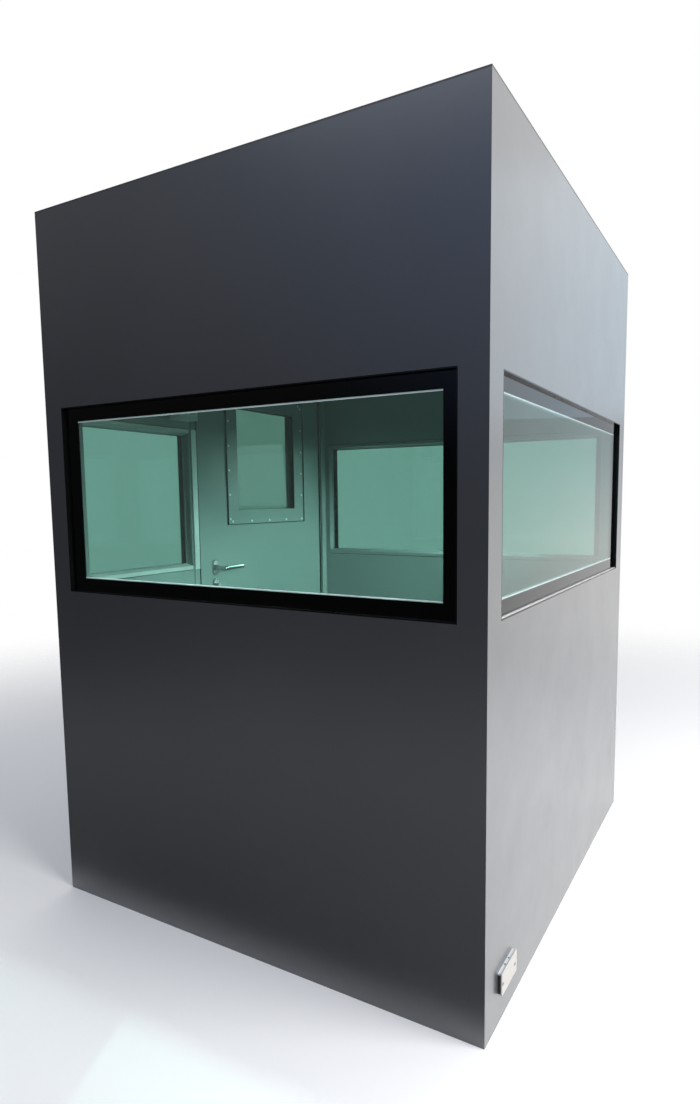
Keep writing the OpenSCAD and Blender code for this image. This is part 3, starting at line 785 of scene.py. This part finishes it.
def window_boards(lit_board_paint, plain):
    """Boards with a sloping face at the bottom and top of each window, and the thin beads at its sides.

    The back window's boards have the walls' colour and the others a pale paint: painted shade and
    painted light between boards that are alike."""
    boards = bmesh.new()
    others = bmesh.new()
    for number, (placed, (x0, z0), (x1, z1), start_ledge) in enumerate(wall_windows()):
        rails = bmesh.new()
        beads = bmesh.new()
        start = x0 + start_ledge
        end = x1 - LEDGE_W
        for z, up in ((z0, 1), (z1, -1)):
            edge = z + up * BORDER_RAIL_W
            inner = edge - up * BOARD_SLOPE
            add_bar(rails, [
                (REBATE_DEPTH, z + up * LEDGE_W),
                (REBATE_DEPTH, edge),
                (BOARD_DEPTH - BOARD_EDGE_R, inner),
                (BOARD_DEPTH, inner - up * BOARD_EDGE_R),
                (BOARD_DEPTH, z + up * LEDGE_W),
            ], start, end)
        for x in (start, end - BEAD_W):
            low = (x, REBATE_DEPTH, z0 + LEDGE_W)
            add_block(beads, low, (x + BEAD_W, REBATE_DEPTH + BEAD_T, z1 - LEDGE_W))
        add_placed(others if number == BACK_WINDOW else boards, rails, placed)
        add_placed(others, beads, placed)
    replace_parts(finish("window_boards", boards, "booth", lit_board_paint), "window_beads")
    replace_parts(finish("side_beads", others, "booth", plain), "window_beads")


def spacer_glint_bars(name, upper, material):
    """Pale bars inside each glass unit, along the upper or lower edge of its black border: painted
    highlight for the shine of the units' spacers, which only these two edges get.
    """
    shape = bmesh.new()
    for placed, (x0, z0), (x1, z1), start_ledge in wall_windows():
        part = bmesh.new()
        up = -1 if upper else 1
        edge = (z1 if upper else z0) + up * (BORDER_RAIL_W - SPACER_OVERLAP)
        top = edge + up * SPACER_H
        side = BORDER_SIDE_W if start_ledge == LEDGE_W else BORDER_POST_W
        add_bar(part, [
            (SPACER_DEPTH, edge),
            (SPACER_DEPTH, top - up * SPACER_BEVEL),
            (SPACER_DEPTH + SPACER_BEVEL, top),
            (SPACER_BACK, top),
            (SPACER_BACK, edge),
        ], x0 + side, x1 - BORDER_SIDE_W)
        add_placed(shape, part, placed)
    return finish(name, shape, "booth", material)


def sill_highlight_strip(material):
    """Pale strip on the sill of the right window, along the glass: a painted highlight where that sill
    catches the light; the other windows have none.
    """
    placed, (x0, z0), (x1, _), _ = wall_windows()[RIGHT_WINDOW]
    part = bmesh.new()
    base = z0 + LINER_T
    low = (x0 + LINER_T, SILL_HIGHLIGHT_START, base)
    add_block(part, low, (x1 - LINER_T, GLASS_DEPTH, base + SILL_HIGHLIGHT_T))
    shape = bmesh.new()
    add_placed(shape, part, placed)
    finish("sill_highlight_strip", shape, "booth", material)


def board_joints(material):
    """Dark joint lines on the inner walls, under and over the boards of each window."""
    shape = bmesh.new()
    for placed, (x0, z0), (x1, z1), start_ledge in wall_windows():
        part = bmesh.new()
        for z in (z0 + LEDGE_W - JOINT_W, z1 - LEDGE_W):
            low = (x0 + start_ledge, WALL_T, z)
            high = (x1 - LEDGE_W, WALL_T + JOINT_T, z + JOINT_W)
            add_block(part, low, high)
        add_placed(shape, part, placed)
    finish("board_joints", shape, "booth", material)


# The door's vision panel

def vision_shade_rims(material):
    """Dark rims around the trim plates on both faces of the door: painted shade for the plates' shaded
    edges.
    """
    low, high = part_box("vision_plates")
    leaf_low, leaf_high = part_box("door_leaf")
    shape = bmesh.new()
    for depth in (leaf_low.x - TRIM_SHADE_RIM_T, leaf_high.x):
        part = bmesh.new()
        add_frame(part, (low.y, low.z), (high.y, high.z), TRIM_SHADE_RIM_W, depth, TRIM_SHADE_RIM_T)
        add_placed(shape, part, ACROSS)
    bmesh.ops.recalc_face_normals(shape, faces=shape.faces)
    finish("vision_shade_rims", shape, "door", material)


def glass_tape(material):
    """Black tape around the edge of the vision panel's glass unit."""
    low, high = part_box("door_glass")
    shape = bmesh.new()
    part = bmesh.new()
    add_frame(part, (low.y, low.z), (high.y, high.z), TAPE_T, low.x, high.x - low.x)
    add_placed(shape, part, ACROSS)
    bmesh.ops.recalc_face_normals(shape, faces=shape.faces)
    finish("glass_tape", shape, "door", material)


# Camera, light and stage

def make_camera():
    """Camera of the photograph: its place, angles, focal length and the centre of its frame."""
    corner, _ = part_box("front_wall")
    azimuth = math.radians(CAMERA_AZIMUTH)
    pitch = math.radians(CAMERA_PITCH)
    roll = math.radians(CAMERA_ROLL)
    forward = Vector((
        -math.sin(azimuth) * math.cos(pitch), math.cos(azimuth) * math.cos(pitch), -math.sin(pitch)
    ))
    level = Vector((math.cos(azimuth), math.sin(azimuth), 0.0))
    upright = level.cross(forward)
    right = math.cos(roll) * level + math.sin(roll) * upright
    up = math.cos(roll) * upright - math.sin(roll) * level
    data = bpy.data.cameras.new("camera")
    data.sensor_width = SENSOR_MM
    data.lens = FOCAL_PX / PHOTO_H * SENSOR_MM
    data.shift_x = (PHOTO_W / 2 - CENTRE_U) / PHOTO_H
    data.shift_y = (CENTRE_V - PHOTO_H / 2) / PHOTO_H
    data.clip_start = CLIP_START
    camera = bpy.data.objects.new("camera", data)
    bpy.context.scene.collection.objects.link(camera)
    turned = Matrix((right, up, -forward)).transposed().to_4x4()
    camera.matrix_world = Matrix.Translation(corner + Vector(CAMERA_PLACE)) @ turned
    bpy.context.scene.camera = camera


def make_world():
    """White for the camera and toward the back, darker behind the camera, with a bluish patch of sky.

    What comes in through the glass and then scatters is dimmed, as in a room."""
    world = bpy.data.worlds.new("world")
    bpy.context.scene.world = world
    world.use_nodes = True
    tree = world.node_tree
    tree.nodes.clear()
    output = tree.nodes.new("ShaderNodeOutputWorld")
    direction = add(tree, "ShaderNodeTexCoord").outputs["Generated"]
    axes = add(tree, "ShaderNodeSeparateXYZ", {"Vector": direction}).outputs
    toward_back = ramp(tree, axes["Y"], *BACK_RANGE, smooth=True)
    toward_sky = add(
        tree, "ShaderNodeVectorMath", {0: direction, 1: SKY_DIRECTION}, operation="DOT_PRODUCT"
    ).outputs["Value"]
    sky = ramp(tree, toward_sky, *SKY_RANGE, smooth=True)
    rising = blend(tree, ramp(tree, axes["Z"], *FRONT_RISE, smooth=True), FRONT_LOW, FRONT_HIGH)
    front = blend(tree, sky, rising, FRONT_SKY)
    straight_back = ramp(tree, axes["Y"], *HAZE_RANGE)
    over_floor = ramp(tree, axes["Z"], *HORIZON_RANGE)
    back = blend(tree, calc(tree, "MULTIPLY", straight_back, over_floor), WHITE, BACK_HAZE)
    soft = blend(tree, toward_back, front, back)
    rays = add(tree, "ShaderNodeLightPath").outputs
    unscattered = calc(tree, "LESS_THAN", rays["Diffuse Depth"], 0.5)
    through_glass = calc(tree, "MULTIPLY", rays["Is Transmission Ray"], unscattered)
    seen = calc(tree, "MAXIMUM", rays["Is Camera Ray"], through_glass)
    shown = blend(tree, seen, soft, WHITE)
    scattered = calc(tree, "SUBTRACT", rays["Is Transmission Ray"], through_glass)
    strength = ramp(tree, scattered, 0.0, 1.0, 1.0, INSIDE_LIGHT)
    background = add(tree, "ShaderNodeBackground", {"Color": shown, "Strength": strength})
    tree.links.new(background.outputs["Background"], output.inputs["Surface"])


def make_floor():
    """Plain pale floor that fades into the white background around the booth."""
    shape = bmesh.new()
    bmesh.ops.create_circle(shape, cap_ends=True, radius=FLOOR_FADE_END, segments=FLOOR_SIDES)
    mesh = bpy.data.meshes.new("floor")
    shape.to_mesh(mesh)
    shape.free()
    floor = bpy.data.objects.new("stage_floor", mesh)
    bpy.context.scene.collection.objects.link(floor)
    material, tree, output = new_material("stage_floor")
    place = add(tree, "ShaderNodeTexCoord").outputs["Object"]
    distance = add(tree, "ShaderNodeVectorMath", {0: place}, operation="LENGTH").outputs["Value"]
    fade = ramp(tree, distance, FLOOR_FADE_START, FLOOR_FADE_END, smooth=True)
    ahead = add(tree, "ShaderNodeSeparateXYZ", {"Vector": place}).outputs["Y"]
    in_front = ramp(tree, ahead, FLOOR_FRONT_END, FLOOR_FRONT_START, 1.0, 0.0)
    further = ramp(tree, ahead, FLOOR_FAR_END, FLOOR_FRONT_END, 1.0, 0.0)
    rays = add(tree, "ShaderNodeLightPath").outputs
    unseen = calc(tree, "SUBTRACT", 1.0, rays["Is Camera Ray"])
    dimmed = calc(tree, "MULTIPLY", in_front, unseen)
    tone = blend(tree, dimmed, FLOOR_WHITE, blend(tree, further, FLOOR_FRONT, FLOOR_FAR))
    pale = add(tree, "ShaderNodeBsdfPrincipled", {"Base Color": tone, "Roughness": FLOOR_ROUGHNESS})
    clear = add(tree, "ShaderNodeBsdfTransparent")
    mixed = add(
        tree, "ShaderNodeMixShader", {0: fade, 1: pale.outputs["BSDF"], 2: clear.outputs["BSDF"]}
    )
    tree.links.new(mixed.outputs["Shader"], output.inputs["Surface"])
    mesh.materials.append(material)


def area_light(name, place, target, size, power, colour, spread):
    """Soft rectangular lamp that looks at a target."""
    data = bpy.data.lights.new(name, "AREA")
    data.shape = "RECTANGLE"
    data.size, data.size_y = size
    data.energy = power
    data.color = colour
    data.spread = math.radians(spread)
    lamp = bpy.data.objects.new(name, data)
    bpy.context.scene.collection.objects.link(lamp)
    lamp.location = place
    lamp.rotation_mode = "QUATERNION"
    lamp.rotation_quaternion = (Vector(target) - Vector(place)).to_track_quat("-Z", "Y")
    lamp.visible_camera = False
    lamp.visible_transmission = False
    return lamp


def make_lights(upper_spacer_glints):
    """Soft lamps: a key from the right, a high softbox behind it, and weak fills in front and inside.

    The key leaves out the front wall, where it would only glare along the wall, and a fill lights that
    wall instead. The handles, their roses and the upper spacer bars of painted highlight have weak lamps
    of their own."""
    lamps = {name: area_light(name, *values) for name, values in LAMPS.items()}
    lamps["glow_back"].visible_diffuse = False
    chosen = [(name, nodes, "EXCLUDE") for name, nodes in LEFT_OUT.items()]
    chosen += [(name, nodes, "INCLUDE") for name, nodes in LIT_ALONE.items()]
    linked = [(name, [frame["nodes"][node] for node in nodes], state) for name, nodes, state in chosen]
    linked.append(("spacer_light", [upper_spacer_glints], "INCLUDE"))
    for name, pieces, state in linked:
        group = bpy.data.collections.new(name)
        for piece in pieces:
            group.objects.link(piece)
        for member in group.collection_objects:
            member.light_linking.link_state = state
        lamps[name].light_linking.receiver_collection = group


materials = make_materials()
dress_nodes(materials)

vision_screws(screw_head(TRIM_SCREW_R), materials["zinc"])
hinge_screws(screw_head(HINGE_SCREW_R), materials["screw_steel"])
lock_screws(screw_head(LOCK_SCREW_R), materials["screw_steel"])
box_cover(materials["box_cover"])
box_shade_plates(materials["box_shade_plate"])
box_screws(screw_head(BOX_SCREW_R), materials["dark_screw"])
box_dots(screw_head(BOX_DOT_R), materials["dark_screw"])
window_boards(materials["board_paint"], materials["inner_paint"])
spacer_glint_bars("lower_spacer_glints", False, materials["spacer_glint_paint"])
upper_spacer_glints = spacer_glint_bars("upper_spacer_glints", True, materials["spacer_glint_paint"])
sill_highlight_strip(materials["sill_highlight_paint"])
board_joints(materials["liner"])
vision_shade_rims(materials["liner"])
glass_tape(materials["vision_liner"])

make_camera()
make_world()
make_floor()
make_lights(upper_spacer_glints)
bpy.context.scene.view_settings.view_transform = "Standard"
